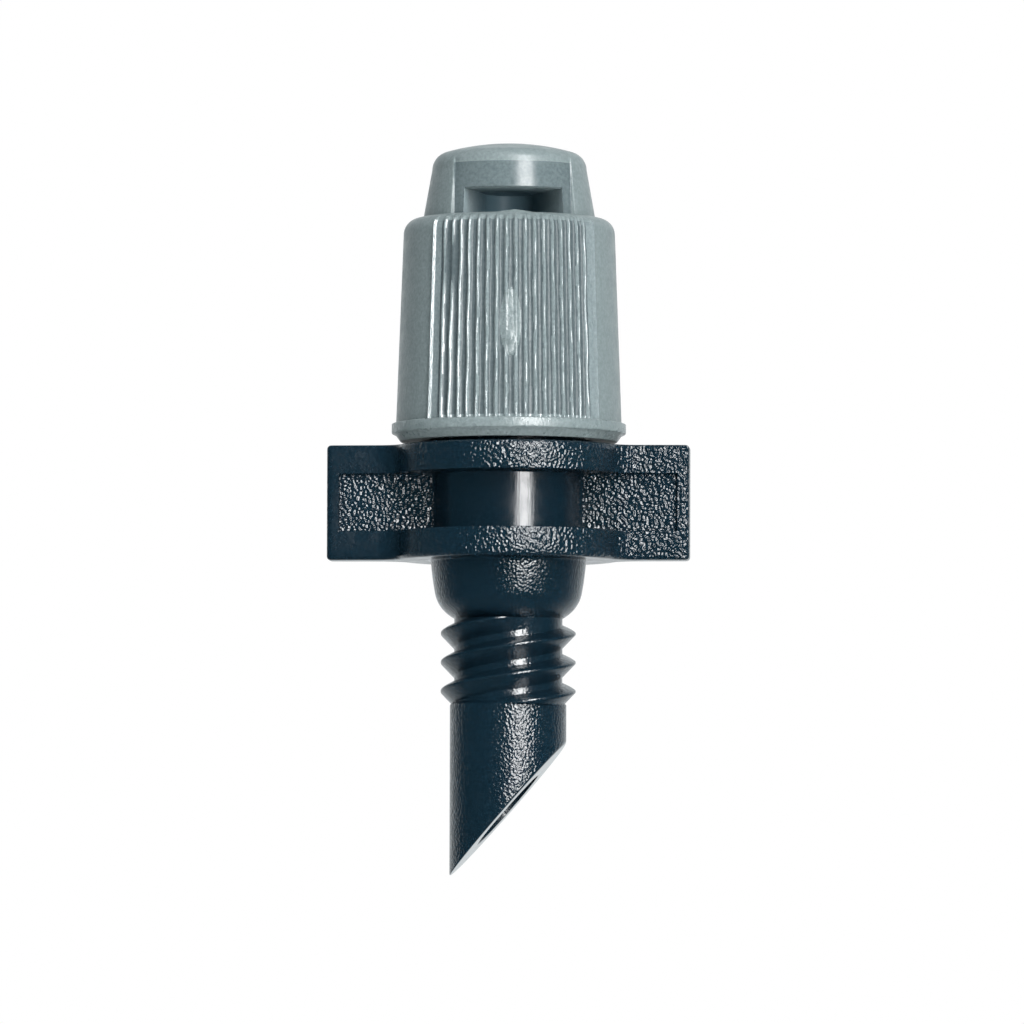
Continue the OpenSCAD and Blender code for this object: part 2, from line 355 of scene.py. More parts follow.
# Painted light and shade in the spray slot: its walls are coloured paler than the cap's grey as painted
# light, and the jet colour darkens them towards the axis as painted shade.
SLOT_PAINTED_LIT_DARK, SLOT_PAINTED_LIT_LIGHT = (0.225, 0.280, 0.296), (0.265, 0.322, 0.338)
JET_PAINTED_SHADE = (0.110, 0.185, 0.225)
eroded = plastic("base_eroded", BLACK_DARK, BLACK_LIGHT, (0.13, 0.22), [(0.135, 0, 0.11, 1)], 1, 0.8)
rolled = plastic("base_rim", BLACK_DARK, BLACK_LIGHT, (0.12, 0.2), [(0.13, 0, 0.075, 1)], 9, 0.9)
turned = plastic("base_round", BLACK_DARK, BLACK_LIGHT, (0.13, 0.22), [(0.11, 0.5, 0.042, 1)], 11, 0.9)
domed = plastic("base_bulb", BLACK_DARK, BLACK_LIGHT, (0.11, 0.19), [(0.105, 0.5, 0.033, 1)], 14, 1.0)
threaded = plastic("base_thread", BLACK_DARK, BLACK_LIGHT, (0.15, 0.24), [(0.15, 1, 0.018, 1)], 2, 1.0)
moulded = plastic("base_moulded", BLACK_DARK, BLACK_LIGHT, (0.2, 0.3), [(0.15, 1, 0.02, 1)], 2, 0.7)
polished = plastic("base_polished", BLACK_DARK, BLACK_LIGHT, (0.18, 0.25),
                   [(0.6, 1, 0.0012, 1), (0.09, 1, 0.0042, 12)], 3, 0.8)
sliced = plastic("base_cut", BLACK_DARK, BLACK_LIGHT, (0.05, 0.1), [(0.5, 1, 0.001, 1)], 13, 1.0)
grey = plastic("cap_grey", GREY_DARK, GREY_LIGHT, (0.30, 0.42), [(0.10, 1, 0.008, 1)], 4)
# Rib crests: painted light in a lighter grey, with lower roughness.
ribbed = plastic("cap_ribs_painted_light", RIB_PAINTED_LIGHT_DARK, RIB_PAINTED_LIGHT_LIGHT, (0.11, 0.2), [(0.09, 1, 0.010, 2)], 10, 1.0)
# Rib grooves: painted shade in a darker grey.
grooves_painted_shade = plastic("cap_grooves_painted_shade", GROOVE_PAINTED_SHADE_DARK, GROOVE_PAINTED_SHADE_LIGHT, (0.35, 0.45), [(0.09, 1, 0.011, 2)], 12)
# Slot walls: painted light in a paler grey, with painted shade darkening them towards the jet.
slot_painted_light_and_shade = plastic("cap_slot_painted_light_and_shade", SLOT_PAINTED_LIT_DARK, SLOT_PAINTED_LIT_LIGHT, (0.45, 0.6), [(0.12, 1, 0.003, 1)], 8)
paint_shade_inwards(slot_painted_light_and_shade, JET_PAINTED_SHADE, 1.1, 2.6)
grey_collar = plastic("cap_collar", GREY_DARK, GREY_LIGHT, (0.25, 0.36), [(0.14, 1, 0.02, 1)], 5, 0.7)
# Window face: polished, with painted shade in a darker grey.
gloss_and_painted_shade = plastic("cap_polished_painted_shade", WINDOW_PAINTED_SHADE_DARK, WINDOW_PAINTED_SHADE_LIGHT, (0.16, 0.24), [(0.4, 1, 0.001, 1)], 6)
rubber = plastic("seal_rubber", (0.012, 0.012, 0.012), (0.02, 0.02, 0.02), (0.35, 0.5),
                 [(0.1, 1, 0.002, 1)], 7)


# ---------------------------------------------------------------- base: outlines of the grip
def grip_quarters():
    """A quarter of the flange-and-wing outline and of the drum-and-web outline, from the end of
    the +X wing round to +Y, point for point, and each point's share of the edge roundings."""
    corner = 0.25
    side = np.array([WING_REACH, WING_END_HALF - WING_HALF])
    side /= np.linalg.norm(side)
    out = np.array([-side[1], side[0]])
    side_at = lambda x: np.array([x, WING_HALF + (x / WING_REACH) * (WING_END_HALF - WING_HALF)])
    end = [[WING_REACH, y] for y in np.linspace(0, WING_END_HALF - corner, 4)[:-1]]
    round_end = arc((WING_REACH - corner, side_at(WING_REACH - corner)[1] - corner), corner, 0, TURN / 4, 7)
    bar_x = WING_REACH - END_BAR
    bar = [side_at(x) for x in np.linspace(WING_REACH - corner, bar_x, 4)[1:]]
    shared = np.concatenate([end, round_end, bar])

    # Fillet between the wing's side and the flange's edge
    along = out @ np.array([0, WING_HALF])
    reach = math.sqrt((FLANGE_R + WING_FILLET) ** 2 - (along + WING_FILLET) ** 2)
    centre = out * (along + WING_FILLET) + side * reach
    foot = centre - out * WING_FILLET
    meet = centre * FLANGE_R / (FLANGE_R + WING_FILLET)
    a0 = math.atan2(*(foot - centre)[::-1])
    a1 = math.atan2(*(meet - centre)[::-1])
    a1 -= TURN if a1 > a0 else 0
    step_x = 0.12
    mid_angle = math.radians(24)
    step = np.array([side_at(x) for x in np.linspace(bar_x, bar_x - step_x, 8)[1:]])
    line = np.array([side_at(x) for x in np.linspace(bar_x - step_x, foot[0], 12)[1:-1]])
    hollow = arc(centre, WING_FILLET, a0, a1, 24)
    rim = arc((0, 0), FLANGE_R, math.atan2(meet[1], meet[0]), mid_angle, 6)[1:]
    far = arc((0, 0), FLANGE_R, mid_angle, TURN / 4, 48)[1:]
    plate = np.concatenate([shared, step, line, hollow, rim, far])

    # The bar's inner face, with a rounded lip and root, then the web and the drum
    lip, root = 0.04, 0.05
    y_bar = side_at(bar_x)[1]
    foot_x = bar_x - 0.04
    face = np.concatenate([
        bezier((bar_x, y_bar), (bar_x, y_bar), (bar_x - 0.02, y_bar - lip), 3),
        bezier((bar_x - 0.03, WEB_HALF + root), (foot_x, WEB_HALF), (foot_x - root, WEB_HALF), 4)])
    n_mid = len(line) + len(hollow) + len(rim)
    drum_x = math.sqrt(DRUM_R ** 2 - WEB_HALF ** 2)
    drum_a = math.atan2(WEB_HALF, drum_x)
    n_web = int(n_mid * 0.7)
    web = np.stack([np.linspace(face[-1][0], drum_x + 0.1, n_web + 1)[1:], np.full(n_web, WEB_HALF)], 1)
    round_in = arc((0, 0), DRUM_R, drum_a + 0.04, mid_angle, n_mid - n_web)
    core = np.concatenate([shared, face, web, round_in, arc((0, 0), DRUM_R, mid_angle, TURN / 4, 48)[1:]])

    n_shared, n_step = len(shared), len(step)
    share = np.ones(len(plate))
    share[:n_shared] = 0
    share[n_shared:n_shared + n_step] = np.linspace(0, 1, n_step + 2)[1:-1]
    return plate, core, share


def whole_loop(quarter):
    """Mirrors a quarter outline into a closed loop of four quarters."""
    upper = np.concatenate([quarter, (quarter[:-1] * [-1, 1])[::-1]])
    return np.concatenate([upper, (upper[1:-1] * [1, -1])[::-1]])


def whole_share(quarter):
    """Mirrors one quarter's weights into those of the closed loop."""
    upper = np.concatenate([quarter, quarter[:-1][::-1]])
    return np.concatenate([upper, upper[1:-1][::-1]])


def outward(loop):
    """Unit normals of a closed flat outline that runs counter-clockwise."""
    t = np.roll(loop, -1, 0) - np.roll(loop, 1, 0)
    n = np.stack([t[:, 1], -t[:, 0]], 1)
    return n / np.linalg.norm(n, axis=1)[:, None]


def at_height(flat, z):
    """A flat outline's points with z added."""
    return np.concatenate([flat, np.full((len(flat), 1), z)], 1)


# ---------------------------------------------------------------- base: rows from the bore to the needle
def thread_radius(angles, z):
    """Radius of the self-tapping thread: sloped below each crest, short and bulging above it."""
    lead = PIPE_PITCH * PIPE_STARTS
    core = PIPE_ROOT_R + (SHANK_R - PIPE_ROOT_R) * (1 - smooth_step(z, -0.02, 0.16))
    r = np.full(angles.shape, core, float)
    for k in range(-4, 5):
        crest = PIPE_FIRST_CREST + PIPE_PITCH * k + lead * angles / TURN
        s = z - crest
        share = np.where(s < 0, 1 + s / PIPE_RAMP, 1 - (np.abs(s) / PIPE_FLANK) ** 1.5)
        tall = smooth_step(crest, -0.35, 0.35) * (1 - smooth_step(crest, 3.6, 4.0))
        blunt = np.minimum(share, 0.95)
        r = np.maximum(r, PIPE_ROOT_R + (PIPE_CREST_R - PIPE_ROOT_R) * tall * blunt)
    return r


def cut_height(x):
    """Height of the spike's slanted cut at x."""
    return SHORT_Z - (SHANK_R - x) * math.tan(CUT_ANGLE)


def spike_rows(angles):
    """From the blind top of the water bore, down it, round the slanted rim and up to the bulb."""
    rows = [ring(BORE_R, z, angles) for z in (GRIP_TOP, GRIP_TOP - 0.01, 8, 4, 2)]
    c = np.cos(angles)
    rim_in = 0.05
    mouth = cut_height(BORE_R * c)
    rows.append(ring(BORE_R, mouth + 0.6, angles))
    for t in np.linspace(0, 1, 4):
        up, inward = rim_in * (1 - t) ** 2, rim_in * t ** 2
        r = BORE_R + inward
        rows.append(ring(r, cut_height(r * c) + up, angles))
    slope = np.sqrt(1 + (c * math.tan(CUT_ANGLE)) ** 2)
    inner = BORE_R + rim_in
    outer = SHANK_R - CUT_BACK / slope
    for t in np.linspace(0, 1, 5)[1:]:
        r = inner + (outer - inner) * t
        rows.append(ring(r, cut_height(r * c), angles))
    corner = np.stack([np.full_like(c, SHANK_R), cut_height(SHANK_R * c)])
    start = np.stack([outer, cut_height(outer * c)])
    end = corner + np.array([[0], [CUT_BACK]])
    for t in np.linspace(0, 1, 7)[1:]:
        r, z = (1 - t) ** 2 * start + 2 * t * (1 - t) * corner + t ** 2 * end
        rows.append(ring(r, z, angles))
    straight = cut_height(SHANK_R * c) + CUT_BACK
    top = -0.05
    for t in (0.33, 0.67, 1):
        rows.append(ring(SHANK_R, straight + (top - straight) * t, angles))
    for z in np.arange(-0.02, NECK_Z, 0.03):
        rows.append(ring(thread_radius(angles, z), z, angles))
    return rows


def bulb_rows(even, uneven):
    """Up the bulb, while the columns slide from even spacing to the grip outline's spacing."""
    low, bend, high = (PIPE_ROOT_R, NECK_Z + 0.02), (3.15, 4.25), (3.27, 5.02)
    fillet = 0.12
    under = bezier((BULB_R, GRIP_Z - fillet), (BULB_R, GRIP_Z), (BULB_R + fillet, GRIP_Z), 4)
    profile = np.concatenate([[low], bezier(low, bend, high, 14),
                              [[3.35, 5.5], [3.4, 5.9], [BULB_R, GRIP_Z - fillet]], under])
    n = len(profile)
    rows = []
    for k, (r, z) in enumerate(profile):
        t = smooth_step(k, 2, n - 2)
        rows.append(ring(r, z, even + (uneven - even) * t))
    return rows


def grip_rows(plate, core, share):
    """Over the lower flange, up the drum and webs, and over the upper flange."""
    n_plate, n_core = outward(plate), outward(core)
    w = share[:, None]
    quarter = np.linspace(0, TURN / 4, 6)
    low_top, middle = GRIP_Z + FLANGE_T, (GRIP_Z + GRIP_TOP) / 2

    def plate_at(inset, z):
        return at_height(plate - n_plate * inset, z)

    half = [plate_at(EDGE * (1 - math.sin(t)), GRIP_Z + EDGE * (1 - math.cos(t))) for t in quarter]
    half += [plate_at(w * GROOVE_EDGE * (1 - math.cos(t)), low_top - GROOVE_EDGE * (1 - math.sin(t)))
             for t in quarter]
    inner = core + n_core * CORE_FILLET * w
    rim = plate - n_plate * w * GROOVE_EDGE
    half += [at_height(rim + (inner - rim) * t, low_top) for t in (0.25, 0.5, 0.75)]
    half += [at_height(core + n_core * w * CORE_FILLET * (1 - math.sin(t)),
                       low_top + CORE_FILLET * (1 - math.cos(t))) for t in quarter]
    upper = [p * [1, 1, -1] + [0, 0, 2 * middle] for p in half[::-1]]
    return half + [at_height(core, middle)] + upper


def stem_rows(plate_top, coarse):
    """From the upper flange's top face up the threaded stem and the nose, then down to the web
    and up the needle."""
    uneven = np.arctan2(plate_top[:, 1], plate_top[:, 0])
    rows = [ring(4.5, GRIP_TOP, uneven), ring(STEM_R + 0.6, GRIP_TOP, uneven)]
    rows.append(ring(STEM_R + 0.3, GRIP_TOP, coarse))
    rows.append(ring(STEM_R + 0.1, GRIP_TOP, coarse))
    rows.append(ring(STEM_R + 0.02, GRIP_TOP + 0.05, coarse))
    length = STEM_Z - MALE_Z - 0.3
    for z in np.arange(GRIP_TOP + 0.2, STEM_Z - 0.1, 0.06):
        rows.append(ring(cap_thread_radius(coarse, z, length, 0, STEM_R, STEM_CREST_R), z, coarse))
    web_z = GRIP_TOP + 1
    bore_edge = BORE_R + 0.1
    point_z = ROOF_Z + 0.4
    point_r = JET_R - 0.05
    profile = [(STEM_R, STEM_Z - 0.08), (STEM_R - 0.08, STEM_Z),
               (NOSE_R + 0.05, STEM_Z), (NOSE_R, STEM_Z + 0.05),
               (NOSE_R, NOSE_TOP - 0.2), (NOSE_R - 0.2, NOSE_TOP),
               (bore_edge, NOSE_TOP), (BORE_R, NOSE_TOP - 0.1),
               (BORE_R, web_z), (NEEDLE_R, web_z), (NEEDLE_R, ROOF_Z), (point_r, point_z),
               (point_r * 0.6, point_z + 0.4), (point_r * 0.4, point_z + 0.44)]
    rows += [ring(r, z, coarse) for r, z in profile]
    return rows


def cap_thread_radius(angles, z, length, start, wall_r, crest_r):
    """Radius of either thread between base and cap; crest_r may be inside or outside wall_r."""
    r = np.full(angles.shape, wall_r, float)
    grow = np.maximum if crest_r > wall_r else np.minimum
    for k in range(-1, int(length / LEAD) + 2):
        u = k + (angles - start) / TURN
        crest = MALE_Z + 0.2 + LEAD * u
        tall = smooth_step(crest - MALE_Z - 0.2, 0, 0.4) * smooth_step(MALE_Z + 0.2 + length - crest, 0, 0.4)
        share = np.clip((0.36 - np.abs(z - crest)) / 0.22, 0, 1)
        r = grow(r, wall_r + (crest_r - wall_r) * share * tall)
    return r


def make_base():
    """Black body of the base: spike, thread, bulb, grip and stem as one skin of loops."""
    quarter, core_quarter, share_quarter = grip_quarters()
    plate, core, share = whole_loop(quarter), whole_loop(core_quarter), whole_share(share_quarter)
    uneven = np.unwrap(np.arctan2(plate[:, 1], plate[:, 0]))
    even = even_angles(len(plate))
    rows = spike_rows(even) + bulb_rows(even, uneven)
    foot = at_height(plate - outward(plate) * EDGE, GRIP_Z)
    rows += [rows[-1] + (foot - rows[-1]) * t for t in (0.3, 0.65)]
    grip = grip_rows(plate, core, share)
    rows += grip + stem_rows(grip[-1], even_angles(len(plate) // 4))

    def slot_of(c):
        r = np.hypot(c[:, 0], c[:, 1])
        groove = (c[:, 2] > GRIP_Z + FLANGE_T - 0.01) & (c[:, 2] < GRIP_TOP - FLANGE_T + 0.01)
        on_drum = groove & (r < DRUM_R + 0.35) & (np.abs(c[:, 1]) > WEB_HALF + 0.02)
        thread = (c[:, 2] > 0.05) & (c[:, 2] < NECK_Z)
        cut = (c[:, 2] < cut_height(c[:, 0]) + 0.1) & (c[:, 2] < SHORT_Z + 0.2) & (r > BORE_R)
        on_wing = (np.abs(c[:, 0]) > FLANGE_R * 0.97) | groove
        underside = (c[:, 2] < GRIP_Z + 0.03) & (r > BULB_R + 0.1)
        pocket = groove & (np.abs(c[:, 1]) < WEB_HALF + 0.12)
        frame_side = (c[:, 0] < -FLANGE_R * 0.75) & (c[:, 2] > GRIP_Z) & (c[:, 2] < GRIP_TOP) & ~pocket
        hidden = (c[:, 2] > GRIP_TOP + 0.02) | ((r < BORE_R + 0.04) & (c[:, 2] < GRIP_TOP + 0.02))
        return np.select([on_drum | underside, hidden | frame_side, thread, on_wing, c[:, 2] > GRIP_Z,
                          cut, c[:, 2] > NECK_Z], [2, 1, 7, 0, 3, 5, 6], 4)

    obj = skin("base_body", rows,
               [eroded, moulded, polished, rolled, turned, sliced, domed, threaded], slot_of)
    smooth_by_angle(obj, 32)
    return obj


# ---------------------------------------------------------------- cap
def from_front(angles):
    """Angle from the middle of the spray window, -pi to pi."""
    return (angles + TURN / 4 + TURN / 2) % TURN - TURN / 2


def rib_height(angles, z):
    """How far the grip ribs stand out at height z; the two panels face front and back."""
    front = from_front(angles)
    off = np.minimum(np.abs(front), TURN / 2 - np.abs(front))
    number = np.round(front / RIB_STEP)
    sway = math.radians(0.16) * np.sin(1.9 * z + 2.3 * number)
    phase = (front + sway) / RIB_STEP * TURN
    ridge = (0.5 + 0.5 * np.cos(phase)) ** 1.8
    patchy = 0.86 + 0.14 * np.sin(1.3 * z + 1.7 * number) * np.sin(0.7 * z - 2.1 * number)
    worn = np.exp(-((number + 7.2) / 1.3) ** 2 - ((z - SHOULDER_Z + 2.3) / 1.2) ** 2)
    panel = off < RIB_STEP * RIBS / 2
    border = 0.8 * np.clip(1 - np.abs(off - RIB_BORDER) / math.radians(1.2), 0, 1)
    return RIB_H * np.maximum(np.where(panel, ridge * patchy * (1 - 0.75 * worn), 0), border)


def gate_mark(angles, z):
    """Height of the smeared gate scar on the front ribs, and how far it melts them away."""
    x = from_front(angles) * CAP_TOP_R + 0.22
    low, high = CAP_Z + 3.6, CAP_Z + 6.5
    t = np.clip((z - low) / (high - low), 0, 1)
    half = 0.42 * math.sqrt(max(1e-6, math.sin(math.pi * t ** 0.65))) if low < z < high else 0.01
    melt = np.clip(1.25 - np.abs(x) / half, 0, 1) if low < z < high else np.zeros_like(x)
    nub = 0.11 * np.exp(-((x / 0.16) ** 2 + ((z - CAP_Z - 4.25) / 0.2) ** 2))
    return 0.085 * melt + nub, melt


def face_radius(z):
    """Radius of the recessed face of the spray window at height z."""
    return FACE_LOW_R + (FACE_TOP_R - FACE_LOW_R) * (z - SHOULDER_Z) / FACE_H


def half_head(r, z, n, out):
    """Right half of the head's plan from the front to the back: the recessed face of the spray
    window, the bevelled step at its side, then the outer wall of radius r. out moves the face
    out from its own place."""
    face_r, wide = face_radius(z) + out, FACE_WIDE - FACE_TAPER * (z - SHOULDER_Z) - out / 2
    radius = max(r, face_r + 0.02)
    at = math.asin(wide / radius) - TURN / 4
    lip, root = 0.03 / radius, 0.02 / face_r
    n_face, n_root, n_step, n_lip = int(n * 0.3), 3, 3, 5
    face = arc((0, 0), face_r, -TURN / 4, at - FACE_BEVEL - root, n_face)
    outer = arc((0, 0), radius, at + lip, TURN / 4, n - n_face - n_root - n_step - n_lip + 2)
    low = arc((0, 0), face_r, at - FACE_BEVEL, at, 2)[0]
    high = arc((0, 0), radius, at, at + lip, 2)[0]
    corner = bezier(face[-1], low, low + (high - low) * 0.2, n_root)
    step = low + (high - low) * np.linspace(0.2, 0.8, n_step + 1)[1:, None]
    edge = bezier(step[-1], high, outer[0], n_lip)
    half = np.concatenate([face, corner, step, edge, outer[1:]])
    if r < face_r + 0.02:
        half *= (np.minimum(np.hypot(*half.T), r) / np.hypot(*half.T))[:, None]
    return half


def head_loop(r, z, n, out=0):
    """Closed plan of the head at height z."""
    half = half_head(r, z, n // 2, out)
    return at_height(np.concatenate([half, (half[1:-1] * [-1, 1])[::-1]]), z)


def cap_rows(angles, coarse):
    """Loops of the cap from its inside, round the lip, up the ribbed skirt and over the crown."""
    rows = []

    def level(r, z):
        rows.append(ring(r, z, angles))

    # Underside, chamfer and lip
    major = STEM_CREST_R + THREAD_GAP
    for r, z in [(major + 0.1, CAP_Z), (CAP_R - 0.26, CAP_Z)]:
        level(r, z)
    for r, z in bezier((CAP_R - 0.26, CAP_Z), (CAP_R - 0.2, CAP_Z), (CAP_R - 0.16, CAP_Z + 0.06), 3):
        level(r, z)
    level(CAP_R, LIP_Z - 0.07)
    for r, z in bezier((LIP_R - 0.08, LIP_Z - 0.01), (LIP_R, LIP_Z), (LIP_R, LIP_Z + 0.08), 4):
        level(r, z)
    brim = LIP_Z + LIP_H
    for r, z in bezier((LIP_R, brim - 0.06), (LIP_R, brim), (LIP_R - 0.06, brim), 4):
        level(r, z)
    # Skirt with its ribs, up into the rounded shoulder
    lip_top = brim + 0.03
    corner_z = SHOULDER_Z - CORNER_R
    for z in np.linspace(lip_top, corner_z, 76):
        wall = CAP_R + (CAP_TOP_R - CAP_R) * (z - lip_top) / (corner_z - lip_top)
        raised, melt = gate_mark(angles, z)
        level(wall + rib_height(angles, z) * (1 - melt) + raised, z)
    centre = CAP_TOP_R - CORNER_R
    top_ribs = rib_height(angles, corner_z)
    for t in np.linspace(0, TURN / 4, 17)[1:]:
        fade = 1 - smooth_step(t, math.radians(25), math.radians(58))
        r = CORNER_R + top_ribs * fade
        level(centre + r * math.cos(t), corner_z + r * math.sin(t))
    # Across the shoulder the columns slide to the spacing of the head's plan
    head = [head_loop(HEAD_R + out, SHOULDER_Z, len(angles), out) for out in (0.08, 0)]
    slid = ring(centre - 0.04, SHOULDER_Z, np.arctan2(head[0][:, 1], head[0][:, 0]))
    rows += [rows[-1] + (slid - rows[-1]) * t for t in (0.35, 0.7, 1)] + head
    # Head: drafted side with the recess of the spray window, rounded into the crown
    top_a = math.asin((HEAD_TOP_R - HEAD_EDGE) / (CROWN_R - HEAD_EDGE))
    crown_c = CROWN_Z - CROWN_R
    edge_z = crown_c + (CROWN_R - HEAD_EDGE) * math.cos(top_a)
    profile = [(HEAD_R + (HEAD_TOP_R - HEAD_R) * t, SHOULDER_Z + (edge_z - SHOULDER_Z) * t)
               for t in np.linspace(0.02, 1, 12)]
    face_t = math.acos(1 - (HEAD_TOP_R - FACE_TOP_R) / HEAD_EDGE)
    turns = sorted([*np.linspace(0, TURN / 4 - top_a, 15)[1:], face_t - 0.02, face_t + 0.03])
    profile += [(HEAD_TOP_R - HEAD_EDGE + HEAD_EDGE * math.cos(t), edge_z + HEAD_EDGE * math.sin(t))
                for t in turns]
    profile += [(CROWN_R * math.sin(t), crown_c + CROWN_R * math.cos(t))
                for t in np.linspace(top_a, 0, 14)[1:-1]]
    rows += [head_loop(r, z, len(angles)) for r, z in profile]
    return cap_inner_rows(coarse) + rows


def cap_inner_rows(angles):
    """Inside of the cap from the roof down to the rim, as seen from below."""
    major = STEM_CREST_R + THREAD_GAP
    minor = STEM_R + THREAD_GAP
    seat_r = (ring_hi.x - ring_lo.x) / 2 + 0.03
    profile = [(0.3, ROOF_Z), (NOSE_R, ROOF_Z), (NOSE_R + 0.06, ROOF_Z - 0.06), (NOSE_R + 0.06, SEAL_TOP),
               (seat_r - 0.04, SEAL_TOP), (seat_r, SEAL_TOP - 0.04), (seat_r, SEAT_Z + 0.05),
               (seat_r + 0.05, SEAT_Z), (major, SEAT_Z)]
    rows = [ring(r, z, angles) for r, z in profile]
    length = STEM_Z - MALE_Z - 0.3
    for z in np.arange(SEAT_Z - 0.1, CAP_Z + 0.2, -0.06):
        rows.append(ring(cap_thread_radius(angles, z, length, math.pi, major, minor), z, angles))
    rows += [ring(major, CAP_Z + 0.1, angles), ring(major + 0.04, CAP_Z + 0.02, angles)]
    return rows


def lathe_cutter(name, profile, n):
    """A closed solid of revolution over (radius, height) points that start and end on the axis."""
    angles = even_angles(n)
    points = np.concatenate([ring(r, z, angles) for r, z in profile[1:-1]])
    rows = len(profile) - 2
    faces = [[k * n + i, k * n + (i + 1) % n, (k + 1) * n + (i + 1) % n, (k + 1) * n + i]
             for k in range(rows - 1) for i in range(n)]
    faces += [list(range(n))[::-1], [(rows - 1) * n + i for i in range(n)]]
    return solid(name, points, faces)


def carve(obj, jobs):
    """Applies (tool, operation) boolean steps to obj, and removes the tools."""
    for tool, operation in jobs:
        mod = obj.modifiers.new("carve", "BOOLEAN")
        mod.operation, mod.solver, mod.object = operation, "EXACT", tool
    graph = bpy.context.evaluated_depsgraph_get()
    done = bpy.data.meshes.new_from_object(obj.evaluated_get(graph))
    obj.modifiers.clear()
    obj.data = done
    for tool, _ in jobs:
        bpy.data.objects.remove(tool)


def slot_tool():
    """Fan-shaped spray slot: round the back of the jet's pocket, then straight out to a mouth
    whose upper edge is eased."""
    ease, floor, roof = 0.07, SHOULDER_Z + 0.012, SHOULDER_Z + SLOT_H
    mouth_r = face_radius(roof)
    side = np.array([mouth_r * math.sin(SLOT_HALF) - JET_POCKET_R, -mouth_r * math.cos(SLOT_HALF)])
    back = arc((0, 0), JET_POCKET_R, 0, TURN / 2, 33)

    def fan(r):
        """Ends of the slot's two sides at radius r, with the arc between them."""
        t = np.linspace(0.3, 2, 400)[:, None]
        line = np.array([JET_POCKET_R, 0]) + side * t
        x, y = line[np.argmin(np.abs(np.hypot(*line.T) - r))]
        return arc((0, 0), r, -TURN / 2 - math.atan2(y, x), math.atan2(y, x), 25)

    loops = [(fan(mouth_r + 0.3), floor), (fan(mouth_r + 0.3), roof + ease + 0.3),
             (fan(mouth_r), roof + ease), (fan(mouth_r - ease), roof)]
    points = [(*q, z) for loop, z in loops for q in loop]
    n, m = len(loops[0][0]), len(back)
    low, high = len(points), len(points) + m
    points += [(*q, floor) for q in back] + [(*q, roof) for q in back]
    faces = [[k * n + i, k * n + i + 1, (k + 1) * n + i + 1, (k + 1) * n + i]
             for k in range(3) for i in range(n - 1)]
    faces += [[low + i, low + i + 1, high + i + 1, high + i] for i in range(m - 1)]
    faces.append([*range(n), *range(low, low + m)])
    faces.append([*range(3 * n, 4 * n), *range(high, high + m)])
    faces.append([n - 1, low, high, 4 * n - 1, 3 * n - 1, 2 * n - 1])
    faces.append([0, n, 2 * n, 3 * n, high + m - 1, low + m - 1])
    return solid("slot_cutter", points, faces)


def splitter_tool():
    """Low roof-shaped rib that runs along the middle of the slot's floor to the shoulder's edge."""
    half, tall, deep = 1.0, 0.1, 0.04
    ends = [(-JET_R - 0.2, tall, deep), (-4.08, tall, deep), (-4.45, -0.18, 0.3)]
    points = [p for y, top, low in ends for p in ((-half, y, SHOULDER_Z - low), (half, y, SHOULDER_Z - low),
                                                  (0, y, SHOULDER_Z + top))]
    faces = [[0, 1, 2], [6, 8, 7]]
    faces += [[k + i, k + (i + 1) % 3, k + 3 + (i + 1) % 3, k + 3 + i] for k in (0, 3) for i in range(3)]
    return solid("splitter", points, faces)


